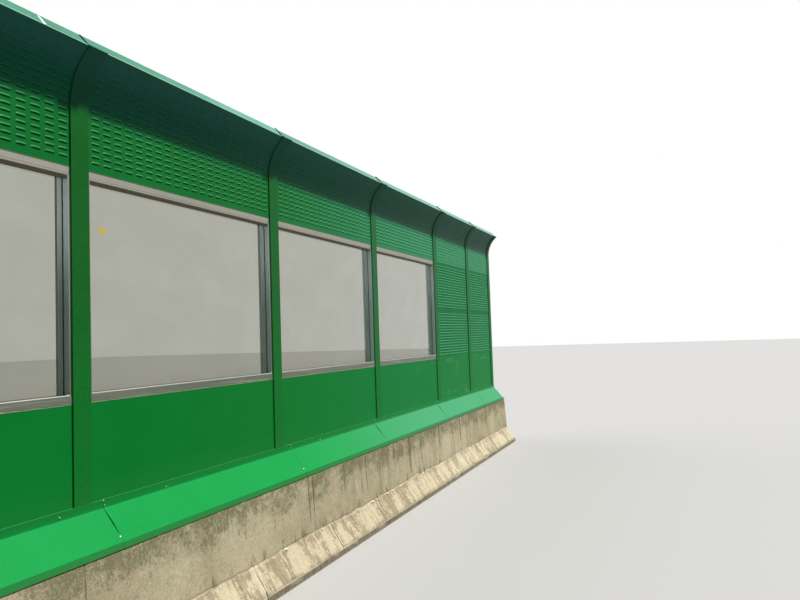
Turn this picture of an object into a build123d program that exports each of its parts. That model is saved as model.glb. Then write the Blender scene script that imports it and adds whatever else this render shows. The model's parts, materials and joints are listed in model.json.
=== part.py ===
from build123d import *
from math import cos, degrees, radians, sin, tan
import os

# Highway noise barrier: six bays of panels held between curved H posts on a concrete parapet
# X runs along the barrier, the road lies on the -Y side, Z = 0 is the ground, millimetres

os.makedirs("parts", exist_ok=True)

# Bays from left to right as seen from the road, measured between post centres
window_bay = 2000.0
wide_louvre_bay = 1500.0
narrow_louvre_bay = 1250.0
window_count = 4
bays = [window_bay] * window_count + [wide_louvre_bay, narrow_louvre_bay]

# Concrete parapet: a low kerb, a 55 degree slope and a steep face, with a vertical back
parapet_width = 555.0
parapet_height = 750.0
parapet_overrun = 150.0
kerb_height = 50.0
slope_height = 190.0
slope_angle = 55.0
batter_angle = 86.0
parapet_edge = 20.0

# H posts: rolled section 125 x 125 x 6.5 x 9 on a base plate, bent towards the road at the top
post_depth = 125.0
post_width = 125.0
flange_thickness = 9.0
web_thickness = 6.5
root_bevel = 5.0
post_setback = 141.0
plate_length = 200.0
plate_depth = 300.0
plate_thickness = 16.0
bend_radius = 385.0
bend_angle = 52.5
head_cutback = 30.0

# Panels stack up between the posts, each with a groove below and a tongue above
panel_thickness = 86.0
panel_end_gap = 10.0
panel_edge = 3.0
tongue_width = 30.0
tongue_height = 8.0
tongue_clearance = 1.0
bottom_panel_height = 734.0
middle_height = 1290.0
louvre_panels_per_bay = 2
canopy_straight = 334.0
canopy_setback = 12.0
cap_thickness = 3.0
cap_joint = 4.0

# Windows: a metal frame as deep as the panels, with the pane held in a groove
rail_height = 51.0
stile_width = 64.0
pane_thickness = 8.0
pane_bite = 14.0
pane_clearance = 0.3
pane_edge_gap = 3.0
bead_width = 12.0
bead_groove = 2.5

# Sheet flashing that closes the foot of the panels and drips over the parapet's front face
flashing_gauge = 2.0
flashing_rise = 204.0
flashing_upstand = 46.0
flashing_overhang = 4.0
flashing_nose_drop = 15.0
flashing_lip = 35.0
flashing_lip_lean = 5.0
flashing_joint = 1.5
flashing_lengths = [2200.0, 2020.0, 1700.0, 2010.0, 1870.0]

# Places worked out from the sizes above
barrier_length = sum(bays)
post_x = [sum(bays[:i]) - barrier_length / 2 for i in range(len(bays) + 1)]

parapet_front = -parapet_width / 2
slope_top_y = parapet_front + slope_height / tan(radians(slope_angle))
break_height = kerb_height + slope_height
parapet_top_y = slope_top_y + (parapet_height - break_height) / tan(radians(batter_angle))

post_front = parapet_top_y + post_setback
post_y = post_front + post_depth / 2
plate_top = parapet_height + plate_thickness

panel_front = post_front + flange_thickness
panel_back = panel_front + panel_thickness
panel_mid = (panel_front + panel_back) / 2
middle_z = plate_top + bottom_panel_height
canopy_z = middle_z + middle_height

bend_y = post_front - bend_radius
bend_z = canopy_z + canopy_straight
canopy_front_radius = panel_front - bend_y
canopy_back_radius = panel_back - bend_y
canopy_angle = bend_angle - degrees(canopy_setback / canopy_front_radius)
cutback_angle = bend_angle - degrees(head_cutback / (post_y - bend_y))


def save(part, name):
    part.label = name
    export_step(part, f"parts/{name}.step")


def panel_span(bay):
    """Start and length of what fits between the webs of a bay's two posts."""
    start = post_x[bay] + web_thickness / 2 + panel_end_gap
    end = post_x[bay + 1] - web_thickness / 2 - panel_end_gap
    return start, end - start


def section_plane(x):
    """Plane of a cross-section at x, drawn with Y to the right and Z up."""
    return Plane(origin=(x, 0, 0), x_dir=(0, 1, 0), z_dir=(1, 0, 0))


def make_parapet():
    with BuildPart() as parapet:
        with BuildSketch(section_plane(post_x[0] - parapet_overrun)):
            with BuildLine():
                Polyline(
                    (parapet_front, 0),
                    (parapet_front, kerb_height),
                    (slope_top_y, break_height),
                    (parapet_top_y, parapet_height),
                    (parapet_width / 2, parapet_height),
                    (parapet_width / 2, 0),
                    close=True,
                )
            make_face()
        extrude(amount=barrier_length + 2 * parapet_overrun)
        top_edges = parapet.edges().filter_by(Axis.X).group_by(Axis.Z)[-1]
        chamfer(top_edges, length=parapet_edge)
    return parapet.part


def arc_plane(x, radius, angle):
    """Cross-section plane of the bend at an angle, with its Y pointing away from the road."""
    turn = radians(angle)
    return Plane(
        origin=(x, bend_y + radius * cos(turn), bend_z + radius * sin(turn)),
        x_dir=(1, 0, 0),
        z_dir=(0, -sin(turn), cos(turn)),
    )


def make_post(x):
    """A bent H post whose front flange runs on past the web and rear flange, under the caps."""
    with BuildPart() as post:
        with BuildSketch(Plane((x, post_y, parapet_height))):
            Rectangle(plate_length, plate_depth)
        extrude(amount=plate_thickness)
        with BuildLine(section_plane(x)) as spine:
            Line((post_y, plate_top), (post_y, bend_z))
            CenterArc((bend_y, bend_z), post_y - bend_y, start_angle=0, arc_size=cutback_angle)
        with BuildSketch(Plane((x, post_y, plate_top))) as section:
            Rectangle(post_width, post_depth)
            channel = (post_width - web_thickness) / 2
            with GridLocations(post_width - channel, 0, 2, 1):
                Rectangle(channel, post_depth - 2 * flange_thickness, mode=Mode.SUBTRACT)
            roots = section.vertices().filter_by_position(Axis.X, -web_thickness, web_thickness)
            chamfer(roots, length=root_bevel)
        sweep(path=spine.wire())
        with BuildSketch(arc_plane(x, bend_radius + flange_thickness / 2, cutback_angle)):
            Rectangle(post_width, flange_thickness)
        revolve(
            axis=Axis((x, bend_y, bend_z), (1, 0, 0)), revolution_arc=bend_angle - cutback_angle
        )
    return post.part


def panel_outline(bottom, top, tongue=True):
    """Draw a flat panel's section: rounded folds, a groove below and a tongue above."""
    height = top - bottom
    with Locations((panel_mid, bottom + height / 2)):
        RectangleRounded(panel_thickness, height, panel_edge)
    groove_width = tongue_width + 2 * tongue_clearance
    with Locations((panel_mid, bottom)):
        Rectangle(groove_width, 2 * (tongue_height + tongue_clearance), mode=Mode.SUBTRACT)
    if tongue:
        with Locations((panel_mid, top)):
            Rectangle(tongue_width, 2 * tongue_height)


def make_flat_panel(bay, bottom, top):
    start, length = panel_span(bay)
    with BuildPart() as panel:
        with BuildSketch(section_plane(start)):
            panel_outline(bottom, top)
        extrude(amount=length)
    return panel.part


def make_canopy_panel(bay):
    start, length = panel_span(bay)
    with BuildPart() as panel:
        with BuildSketch(section_plane(start)):
            with BuildLine():
                front = Line((panel_front, canopy_z), (panel_front, bend_z))
                front_arc = CenterArc(
                    (bend_y, bend_z), canopy_front_radius, start_angle=0, arc_size=canopy_angle
                )
                back_arc = CenterArc(
                    (bend_y, bend_z), canopy_back_radius, start_angle=0, arc_size=canopy_angle
                )
                Line(front_arc @ 1, back_arc @ 1)
                back = Line((panel_back, bend_z), (panel_back, canopy_z))
                Line(back @ 1, front @ 0)
            make_face()
            with Locations((panel_mid, canopy_z)):
                Rectangle(
                    tongue_width + 2 * tongue_clearance,
                    2 * (tongue_height + tongue_clearance),
                    mode=Mode.SUBTRACT,
                )
        extrude(amount=length)
    return panel.part


def make_canopy_caps():
    """Strips end to end over the canopy panels and the posts' cut-back webs."""
    mid_radius = (canopy_front_radius + canopy_back_radius) / 2
    start = post_x[0] - post_width / 2
    with BuildPart() as caps:
        for end in post_x[1:]:
            edge = post_width / 2 if end == post_x[-1] else -post_width / 2 - cap_joint
            length = end + edge - start
            with BuildSketch(arc_plane(start + length / 2, mid_radius, canopy_angle)):
                Rectangle(length, panel_thickness)
            extrude(amount=cap_thickness)
            start += length + cap_joint
    return caps.part


def make_rail(bay, bottom, pane_side, groove_depth):
    """A rail of a window frame, grooved for the pane along its upper or lower face."""
    start, length = panel_span(bay)
    top = bottom + rail_height
    with BuildPart() as rail:
        with BuildSketch(section_plane(start)):
            panel_outline(bottom, top, tongue=pane_side != top)
            with Locations((panel_mid, pane_side)):
                Rectangle(pane_groove_width, 2 * groove_depth, mode=Mode.SUBTRACT)
            bead_z = top - bead_width if pane_side == top else bottom + bead_width
            with Locations((panel_front, bead_z), (panel_back, bead_z)):
                Rectangle(2 * bead_groove, bead_groove, mode=Mode.SUBTRACT)
        extrude(amount=length)
    return rail.part


def make_stile(left, pane_side):
    """An upright of a window frame, from the lower rail to the upper one."""
    middle = (left + stile_width / 2, panel_mid)
    with BuildPart() as stile:
        with BuildSketch(Plane.XY.offset(opening_bottom)):
            with Locations(middle):
                RectangleRounded(stile_width, panel_thickness, panel_edge)
            with Locations((pane_side, panel_mid)):
                Rectangle(2 * (pane_bite + pane_edge_gap), pane_groove_width, mode=Mode.SUBTRACT)
            bead_x = pane_side - bead_width if pane_side > middle[0] else pane_side + bead_width
            with Locations((bead_x, panel_front), (bead_x, panel_back)):
                Rectangle(bead_groove, 2 * bead_groove, mode=Mode.SUBTRACT)
        extrude(amount=opening_top - opening_bottom)
    return stile.part


def make_pane(left, right):
    """A clear pane that stands in the lower rail's groove."""
    height = opening_top - opening_bottom + 2 * pane_bite
    with BuildPart() as pane:
        with BuildSketch(Plane(((left + right) / 2, panel_mid, opening_bottom - pane_bite))):
            Rectangle(right - left + 2 * pane_bite, pane_thickness)
        extrude(amount=height)
    return pane.part


def make_packing_strips():
    """Strips behind the flashing's upstand that level the panels with the post flanges."""
    strip_z = parapet_height + flashing_rise - flashing_upstand
    with BuildPart() as strips:
        for bay in range(len(bays)):
            start = post_x[bay] + post_width / 2
            with BuildSketch(section_plane(start)):
                with Locations((panel_front, strip_z)):
                    Rectangle(flange_thickness, flashing_upstand, align=(Align.MAX, Align.MIN))
            extrude(amount=bays[bay] - post_width)
    return strips.part


def make_flashing():
    """Folded sheets end to end: upstand, slope and drip lip, fixed to the post flanges."""
    fold_z = parapet_height + flashing_rise - flashing_upstand
    nose = (parapet_top_y - flashing_overhang, parapet_height - flashing_nose_drop)
    lip = (nose[0] - flashing_lip_lean, nose[1] - flashing_lip)
    with BuildPart() as flashing:
        start = post_x[0] - post_width / 2
        for end in flashing_ends:
            with BuildSketch(section_plane(start)):
                with BuildLine():
                    Polyline(
                        (post_front, parapet_height + flashing_rise),
                        (post_front, fold_z),
                        nose,
                        lip,
                    )
                    offset(amount=flashing_gauge, side=Side.RIGHT)
                make_face()
            extrude(amount=end - start - flashing_joint)
            start = end
    return flashing.part


pane_groove_width = pane_thickness + 2 * pane_clearance
opening_bottom = middle_z + rail_height
opening_top = canopy_z - rail_height
louvre_panel_height = middle_height / louvre_panels_per_bay

flashing_ends = [post_x[0] - post_width / 2 + sum(flashing_lengths[: i + 1])
                 for i in range(len(flashing_lengths))]
flashing_ends.append(post_x[-1] + post_width / 2 + flashing_joint)

save(make_parapet(), "parapet")
for number, x in enumerate(post_x, start=1):
    save(make_post(x), f"post_{number}")

for bay in range(len(bays)):
    number = bay + 1
    save(make_flat_panel(bay, plate_top, middle_z), f"bottom_panel_{number}")
    save(make_canopy_panel(bay), f"canopy_panel_{number}")
    if bay < window_count:
        start, length = panel_span(bay)
        left = start + stile_width
        right = start + length - stile_width
        save(make_rail(bay, middle_z, opening_bottom, pane_bite), f"window_{number}_bottom_rail")
        save(make_rail(bay, opening_top, opening_top, pane_bite + pane_edge_gap),
             f"window_{number}_top_rail")
        save(make_stile(start, left), f"window_{number}_left_stile")
        save(make_stile(right, right), f"window_{number}_right_stile")
        save(make_pane(left, right), f"window_{number}_pane")
    else:
        for level in range(louvre_panels_per_bay):
            bottom = middle_z + level * louvre_panel_height
            panel = make_flat_panel(bay, bottom, bottom + louvre_panel_height)
            save(panel, f"louvre_panel_{number}_{'lower' if level == 0 else 'upper'}")

save(make_canopy_caps(), "canopy_caps")
save(make_packing_strips(), "flashing_packing")
save(make_flashing(), "flashing")
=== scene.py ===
import itertools
import json
import random
from math import cos, pi, radians, sin

import bpy
from mathutils import Matrix, Vector, noise


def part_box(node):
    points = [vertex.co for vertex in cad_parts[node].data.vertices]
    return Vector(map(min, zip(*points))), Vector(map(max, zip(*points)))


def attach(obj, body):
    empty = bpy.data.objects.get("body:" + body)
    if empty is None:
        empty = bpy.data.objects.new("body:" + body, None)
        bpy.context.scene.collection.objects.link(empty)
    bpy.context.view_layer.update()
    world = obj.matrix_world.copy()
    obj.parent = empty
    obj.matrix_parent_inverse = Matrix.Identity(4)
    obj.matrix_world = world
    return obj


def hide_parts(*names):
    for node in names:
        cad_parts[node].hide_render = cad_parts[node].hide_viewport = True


# Looks of the highway noise barrier: painted steel, clear panes and weathered concrete, in metres
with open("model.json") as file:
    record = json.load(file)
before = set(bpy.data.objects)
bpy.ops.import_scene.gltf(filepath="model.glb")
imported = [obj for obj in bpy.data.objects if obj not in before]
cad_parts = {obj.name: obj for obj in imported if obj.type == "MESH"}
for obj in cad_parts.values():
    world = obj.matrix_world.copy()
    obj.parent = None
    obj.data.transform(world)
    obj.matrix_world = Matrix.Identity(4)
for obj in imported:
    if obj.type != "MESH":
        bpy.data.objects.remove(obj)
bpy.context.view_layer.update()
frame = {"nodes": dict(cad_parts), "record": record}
random.seed(7)

BAYS = 6
WINDOW_BAYS = (1, 2, 3, 4)
LOUVRE_BAYS = (5, 6)

# Sizes read back from the frame
panel_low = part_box("bottom_panel_1")[0]
parapet_low, parapet_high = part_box("parapet")
flashing_low, flashing_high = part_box("flashing")
pane_low, pane_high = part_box("window_1_pane")
rail_low, rail_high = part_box("window_1_bottom_rail")

PANEL_FRONT = panel_low.y
BASE_PLATE_TOP = panel_low.z
FLANGE_FRONT = flashing_high.y
OPENING_BOTTOM = rail_high.z
OPENING_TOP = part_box("window_1_top_rail")[0].z
CANOPY_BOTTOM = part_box("canopy_panel_1")[0].z
PARAPET_TOP = parapet_high.z

# The posts' rolled section and base plates
POST_DEPTH = 0.125
HALF_FLANGE = 0.06
HALF_WEB = 0.00325
HALF_BASE_PLATE = 0.15

# The canopy panels' road face: straight, then an arc about a line on the road side
STRAIGHT_RISE = 0.334
BEND_RADIUS = 0.394
BEND_HEIGHT = CANOPY_BOTTOM + STRAIGHT_RISE
BEND_Y = PANEL_FRONT - BEND_RADIUS

# Camera, solved from the photograph's perspective
CAMERA_PLACE = (-6.3515, -3.0299, 1.805)
CAMERA_HEADING = radians(21.77)
CAMERA_PITCH = radians(2.926)
CAMERA_ROLL = radians(-1.909)
CAMERA_LENS = 32.175
SENSOR_WIDTH = 36.0

ACROSS = Vector((1, 0, 0))
BACKWARDS = Vector((0, 1, 0))
UPWARDS = Vector((0, 0, 1))
# Corners of a square about 0, in turn
SQUARE = ((-1, -1), (1, -1), (1, 1), (-1, 1))


def clamp(value, low=0.0, high=1.0):
    return max(low, min(high, value))


def near(value, centre, reach):
    """1 at the centre, 0 at the reach on either side."""
    return max(0.0, 1.0 - abs(value - centre) / reach)


def wobble(x, y, z):
    """Smooth noise about 0 at a point."""
    return noise.noise(Vector((x, y, z)))


class Shades:
    """Short names for the nodes of one shader tree."""

    def __init__(self, tree):
        self.tree = tree
        tree.nodes.clear()

    def feed(self, socket, value):
        """Connect a socket to another one, or set its value."""
        if isinstance(value, bpy.types.NodeSocket):
            self.tree.links.new(value, socket)
        elif socket.type == "RGBA":
            socket.default_value = (*value, 1)
        else:
            socket.default_value = value

    def node(self, kind, inputs=None, **settings):
        """Add a node with its options and inputs."""
        new = self.tree.nodes.new("ShaderNode" + kind)
        for name, value in settings.items():
            setattr(new, name, value)
        for name, value in (inputs or {}).items():
            self.feed(new.inputs[name], value)
        return new

    def maths(self, operation, *values, clamped=False):
        inputs = dict(enumerate(values))
        return self.node("Math", inputs, operation=operation, use_clamp=clamped).outputs[0]

    def times(self, first, *others):
        for other in others:
            first = self.maths("MULTIPLY", first, other)
        return first

    def plus(self, first, *others):
        for other in others:
            first = self.maths("ADD", first, other)
        return first

    def scaled(self, value, size, start):
        """Start plus the value times the size."""
        return self.maths("MULTIPLY_ADD", value, size, start)

    def centred(self, value, size):
        """A value about 0.5 made one about 0, times the size."""
        return self.scaled(value, size, -size / 2)

    def between(self, value, low, high):
        """0 at low, 1 at high, smooth between them."""
        inputs = {"Value": value, "From Min": low, "From Max": high, "To Min": 0, "To Max": 1}
        return self.node("MapRange", inputs, interpolation_type="SMOOTHSTEP").outputs["Result"]

    def mix(self, factor, a, b, mode="MIX"):
        """Colour a, with b laid over it by the factor."""
        inputs = {0: factor, 6: a, 7: b}
        return self.node("Mix", inputs, data_type="RGBA", blend_type=mode).outputs[2]

    def lit_or_seen(self, lit, seen):
        """One colour for bounced light, another for what is seen, by glint or glass too."""
        rays = self.node("LightPath").outputs
        direct = self.maths("MAXIMUM", rays["Is Camera Ray"], rays["Is Glossy Ray"])
        direct = self.maths("MAXIMUM", direct, rays["Is Transmission Ray"])
        return self.mix(direct, lit, seen)


class Finish(Shades):
    """A Principled material, its base colour built up in tints."""

    def __init__(self, name):
        self.material = bpy.data.materials.new(name)
        self.material.use_nodes = True
        super().__init__(self.material.node_tree)
        self.shader = self.node("BsdfPrincipled")
        self.node("OutputMaterial", {"Surface": self.shader.outputs["BSDF"]})
        self.place = self.node("TexCoord").outputs["Object"]
        self.along, _, self.height = self.node("SeparateXYZ", {"Vector": self.place}).outputs

    def facing(self):
        """The surface normal's parts."""
        normal = self.node("NewGeometry").outputs["Normal"]
        return self.node("SeparateXYZ", {"Vector": normal}).outputs

    def noise(self, scale, detail=3, roughness=0.55, stretch=(1, 1, 1)):
        """Grey noise, its coordinates stretched along the axes."""
        mapped = self.node("Mapping", {"Vector": self.place, "Scale": stretch}).outputs["Vector"]
        inputs = {"Vector": mapped, "Scale": scale, "Detail": detail, "Roughness": roughness}
        return self.node("TexNoise", inputs).outputs["Fac"]

    def patches(self, low, high, *noise, stretch=(1, 1, 1)):
        """Noise made into patches: 0 under low, 1 over high."""
        return self.between(self.noise(*noise, stretch=stretch), low, high)

    def by_height(self, low, high):
        return self.between(self.height, low, high)

    def by_length(self, low, high):
        return self.between(self.along, low, high)

    def cells(self, scale):
        """Distance from the nearest of many scattered points."""
        return self.node("TexVoronoi", {"Vector": self.place, "Scale": scale}).outputs["Distance"]

    def mark(self, name):
        """A value painted on the mesh's points."""
        return self.node("Attribute", attribute_name=name).outputs["Fac"]

    def ramp(self, factor, *stops):
        """Grey ramp between two (place, grey) stops."""
        new = self.node("ValToRGB", {"Fac": factor})
        for element, (place, grey) in zip(new.color_ramp.elements, stops):
            element.position = place
            element.color = (grey, grey, grey, 1)
        return new.outputs["Color"]

    def start(self, share, a, b):
        """Begin the base colour, from a to b."""
        self.base = self.mix(share, a, b)

    def tint(self, share, colour, strength=None, mode="MIX"):
        """Lay a colour over the base colour, by a share and a strength."""
        if strength is not None:
            share = self.times(share, strength)
        self.base = self.mix(share, self.base, colour, mode)

    def done(self, roughness, specular=0.5, bumps=()):
        """Connect colour, roughness and (height, strength, distance) bumps; give the material."""
        inputs = self.shader.inputs
        self.feed(inputs["Base Color"], self.base)
        self.feed(inputs["Roughness"], roughness)
        inputs["Specular IOR Level"].default_value = specular
        bump = None
        for height, strength, distance in bumps:
            before = bump
            bump = self.node("Bump", {"Height": height, "Strength": strength, "Distance": distance})
            if before:
                self.feed(bump.inputs["Normal"], before.outputs["Normal"])
        if bump:
            self.feed(inputs["Normal"], bump.outputs["Normal"])
        return self.material


PAINT_DUST = (0.13, 0.27, 0.13)


def painted_steel(name, colour, shade, dust=PAINT_DUST, roughness=0.5, specular=0.05, wave=0.004,
                  dent_sheen=0, mottling=0, far=None, foot_bounce_light=None, upper_tone_and_shade=None, crown_reflection=None,
                  glints=None, sheen_length=None):
    """Sprayed green paint: soft mottling, wipe marks, dust at the foot and a slightly wavy sheet, with
    painted sheen, shade, reflections, bounce light and glints where asked.
    """
    f = Finish(name)
    _, facing_y, facing_up = f.facing()
    to_road = f.between(facing_y, 0.25, 0)
    mottle = f.noise(1.5, 4)
    f.start(f.between(mottle, 0.3, 0.7), shade, colour)
    # Painted sky sheen: road faces paler and bluer towards the far end, where they are seen at a grazing
    # angle, partly a film of dust
    if far:
        tone, *reach = far
        f.tint(f.times(f.by_length(*reach), to_road), tone)
    # Painted bounce light: lighter towards the foot, as lit from the bright flashing below
    if foot_bounce_light:
        f.tint(f.by_height(2.3, 1.1), foot_bounce_light)
    # Above a height, a tone on the road faces: painted shade in the canopy's shadow and among the hoods of
    # the louvred panels, and a darker top to the flashing's upstand
    if upper_tone_and_shade:
        tone, *levels = upper_tone_and_shade
        f.tint(f.times(f.by_height(*levels), to_road), tone)
    # Painted reflection: bluish grey on the road faces high up in the canopy's shade, fading towards the
    # far end
    if crown_reflection:
        tone, *levels, farthest = crown_reflection
        nearer = f.scaled(f.by_length(-2.6, 2.4), farthest - 1, 1)
        f.tint(f.times(f.by_height(*levels), to_road), tone, nearer)
    # Painted sheen: one cap sheet lighter along a stretch, as it catches the sky
    if sheen_length:
        tone, *reach, end = sheen_length
        before_end = f.maths("LESS_THAN", f.along, end)
        f.tint(f.times(f.by_length(*reach), before_end), tone, mode="MULTIPLY")
    f.tint(f.by_height(0.74, 0.73), (0.056, 0.172, 0.04), 0.4)
    f.tint(f.patches(0.45, 0.75, 60, 4, 0.7), [c * 1.22 for c in colour], 0.35)
    f.tint(f.patches(0.58, 0.8, 1, 5, 0.65, stretch=(22, 22, 1.1)), dust, 0.07)
    if mottling:
        f.tint(f.patches(0.42, 0.66, 38, 6, 0.8), (0.1, 0.18, 0.07), mottling)

    grit = f.noise(34, 6, 0.7)
    low_dust = f.times(f.by_height(1.12, 0.92), grit, 0.1)
    ledge_dust = f.times(f.between(facing_up, 0.8, 0.98), 0.4, grit)
    film = f.maths("MAXIMUM", low_dust, ledge_dust)
    f.tint(film, dust)
    # Painted reflections: pale curved sheens of dented sheets on the far bottom panels
    if dent_sheen:
        line = f.patches(0.5, 0.7, 1, 2.5, 0.5, stretch=(2.4, 1, 10))
        some = f.patches(0.48, 0.62, 1, 1, stretch=(1.7, 1, 3.7))
        later = f.times(f.by_length(1, 3.2), f.by_height(1.52, 1.46), to_road)
        f.tint(f.times(line, some, later), (0.3, 0.5, 0.3), dent_sheen)
    # Painted glints: the marked left ends of hoods made pale
    if glints:
        f.tint(f.mark("hood_glint"), glints)
    chance = f.maths("GREATER_THAN", f.noise(3.1, 2), 0.62)
    f.tint(f.times(f.maths("LESS_THAN", f.cells(26), 0.05), chance), dust, 0.22)

    rough = f.plus(f.scaled(mottle, 0.12, roughness - 0.06), f.times(film, 0.5))
    sheet_wave = f.noise(1, 1, 0.4, (2.2, 1, 3.2))
    peel = f.noise(420, 2)
    return f.done(rough, specular, [(sheet_wave, 1, wave), (peel, 0.1, 0.0006)])


def frame_metal(name, clean, dirty, metallic=0.9):
    """Drawn aluminium: fine lines, pale smears, grime low down, and reveals made paler and less metallic as
    painted light and reflection.
    """
    f = Finish(name)
    cloudy = f.centred(f.noise(3, 5, 0.6, (1, 3, 3)), 0.8)
    f.start(f.maths("ADD", f.by_height(2.3, 1.5), cloudy, clamped=True), clean, dirty)
    lines_along = f.noise(60, 3, 0.6, (0.03, 6, 6))
    drawn = f.times(lines_along, f.noise(60, 3, 0.6, (6, 6, 0.03)))
    f.tint(f.between(drawn, 0.2, 0.42), [c * 1.35 for c in dirty], 0.5)
    bars = f.patches(0.52, 0.7, 1, 3, 0.6, stretch=(1.4, 80, 80))
    f.tint(f.times(bars, f.by_height(1.6, 1.56)), (0.4, 0.42, 0.35), 0.55)
    marks = f.noise(22, 6, 0.75)
    f.tint(f.between(marks, 0.56, 0.74), (0.12, 0.105, 0.07), 0.5)

    # Painted light and reflection on the reveals: faces looking sideways or down are made paler, darkest at
    # the near end and low down, palest high up, warm where they look down, and less metallic
    facing_x, _, facing_up = f.facing()
    sideways, down = f.maths("ABSOLUTE", facing_x), f.times(facing_up, -1)
    reveal_light = f.between(f.maths("MAXIMUM", sideways, down), 0.45, 0.8)
    lower = f.mix(f.by_length(-3.5, 0.4), (0.2, 0.28, 0.245), (0.4, 0.575, 0.515))
    inner = f.mix(f.by_height(2.02, 2.55), lower, (0.66, 0.8, 0.81))
    inner = f.mix(f.between(down, 0.45, 0.8), inner, (0.88, 0.74, 0.52))
    f.tint(reveal_light, inner, 0.94)
    f.feed(f.shader.inputs["Metallic"], f.scaled(reveal_light, -0.65 * metallic, metallic))
    return f.done(f.scaled(marks, 0.25, 0.27), bumps=[(drawn, 0.25, 0.0008), (marks, 0.15, 0.0008)])


def galvanised(name, tone, rust):
    """Zinc with spangle, and rust where the coat has gone."""
    f = Finish(name)
    f.start(f.cells(140), tone, [min(1, c * 1.35) for c in tone])
    patches = f.noise(55, 5, 0.7)
    f.tint(f.between(patches, 0.5, 0.68), (0.17, 0.065, 0.025), rust)
    f.shader.inputs["Metallic"].default_value = 0.6
    return f.done(f.scaled(patches, 0.4, 0.28), bumps=[(patches, 0.3, 0.0006)])


def two_tone(name, a, b, cloud, roughness, specular=0.5, spread=None, grain=None):
    """Plain stuff of two colours; grain is (noise, strength, distance) of its bumps."""
    f = Finish(name)
    share = f.noise(*cloud)
    f.start(f.between(share, *spread) if spread else share, a, b)
    bumps = [(f.noise(*grain[0]), *grain[1:])] if grain else ()
    return f.done(roughness, specular, bumps)


def dark_rubber(name, dark, bloomed, specular=0.5):
    grain = ((300, 3), 0.2, 0.0005)
    return two_tone(name, dark, bloomed, (40, 5, 0.7), 0.7, specular, (0.45, 0.75), grain)


def clear_pane():
    """Clear, smoky sheet with wipe marks and dust towards its foot."""
    f = Finish("pane")
    wipes = f.noise(1, 5, 0.6, (2.2, 1, 3.4))
    f.start(f.between(wipes, 0.35, 0.75), (0.365, 0.372, 0.315), (0.395, 0.402, 0.345))
    grime = f.by_height(OPENING_BOTTOM + 0.1, OPENING_BOTTOM)
    f.tint(f.times(grime, f.noise(30, 5, 0.7)), (0.3, 0.29, 0.24), 0.6)
    f.shader.inputs["Transmission Weight"].default_value = 1
    f.shader.inputs["IOR"].default_value = 1.49
    rough = f.times(f.between(wipes, 0.55, 0.8), 0.03)
    return f.done(rough, bumps=[(f.noise(0.8, 1), 0.25, 0.002)])


def concrete_tone(f, mottle):
    """Cast concrete's own colour: clouds, warm patches and mottling."""
    f.start(f.patches(0.34, 0.66, 1.3, 5, 0.6), (0.425, 0.378, 0.23), (0.545, 0.492, 0.318))
    warm = f.noise(2.7, 4, 0.6, (1, 1, 1.6))
    f.tint(f.between(warm, 0.48, 0.66), (0.56, 0.468, 0.308), 0.5)
    f.tint(f.between(mottle, 0.5, 0.74), (0.6, 0.55, 0.385), 0.42)
    f.tint(f.between(mottle, 0.46, 0.28), (0.25, 0.22, 0.132), 0.35)


def face_stains(f):
    """Streaks, thicker towards the far end, dark runs and ragged algae under the lip."""
    fine = f.noise(1, 8, 0.8, (27, 3, 2.6))
    cluster = f.patches(0.44, 0.6, 1, 3, 0.5, stretch=(2.3, 1, 1.7))
    farther = f.scaled(f.by_length(-1.8, 0.4), 0.7, 0.3)
    f.tint(f.times(f.between(fine, 0.5, 0.66), cluster, farther), (0.15, 0.138, 0.08), 0.72)
    soft = f.patches(0.5, 0.68, 1, 4, 0.6, stretch=(7, 1, 0.8))
    f.tint(f.times(soft, farther), (0.205, 0.19, 0.115), 0.42)

    broken = f.patches(0.34, 0.56, 1, 6, 0.75, stretch=(40, 4, 7))
    f.tint(f.times(f.between(f.mark("run"), 0, 0.55), broken), (0.085, 0.08, 0.046), 0.8)

    ragged = f.noise(1, 9, 0.88, (17, 6, 15))
    patch = f.noise(1, 5, 0.72, (3.4, 1, 5))
    level = f.scaled(f.by_height(0.34, 0.68), 0.32, -0.29)
    zone = f.plus(patch, level, f.centred(fine, 0.35))
    algae = f.between(f.scaled(ragged, 1.15, zone), 0.96, 1.14)
    tone = f.mix(f.by_length(1.4, -1), (0.19, 0.172, 0.092), (0.196, 0.2, 0.088))
    f.tint(algae, tone, f.scaled(f.by_length(-2.2, -3.6), -0.2, 0.52))
    lace = f.noise(1, 4, 0.72, (72, 20, 58))
    f.tint(f.between(f.scaled(lace, 1.3, zone), 1.08, 1.22), (0.11, 0.108, 0.05), 0.47)

    smudge = f.patches(0.5, 0.62, 1, 6, 0.75, stretch=(9, 2, 2))
    f.tint(f.times(f.by_height(0.355, 0.25), smudge), (0.15, 0.128, 0.07), 0.75)


def slope_stains(f):
    """Cream crust with brown bands down the slope, and a dirty kerb."""
    bands = f.noise(1, 5, 0.7, (5.2, 1.2, 1.2))
    broken = f.noise(1, 8, 0.82, (30, 22, 22))
    topmost = f.times(f.by_height(0.17, 0.25), 0.07)
    brown = f.between(f.plus(bands, f.centred(broken, 0.75), topmost), 0.495, 0.575)
    fine = f.noise(1, 6, 0.75, (34, 3.5, 3.5))
    cream = f.mix(f.between(fine, 0.5, 0.66), (0.545, 0.48, 0.322), (0.39, 0.335, 0.215))
    dirt = f.mix(f.between(fine, 0.42, 0.6), (0.365, 0.308, 0.198), (0.262, 0.218, 0.138))
    f.tint(f.by_height(0.246, 0.236), f.mix(brown, cream, dirt))
    kerb_line = f.plus(f.height, f.centred(broken, 0.1))
    kerb = f.mix(f.between(fine, 0.4, 0.65), (0.25, 0.215, 0.145), (0.16, 0.132, 0.084))
    f.tint(f.between(kerb_line, 0.076, 0.044), kerb, 0.85)


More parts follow.
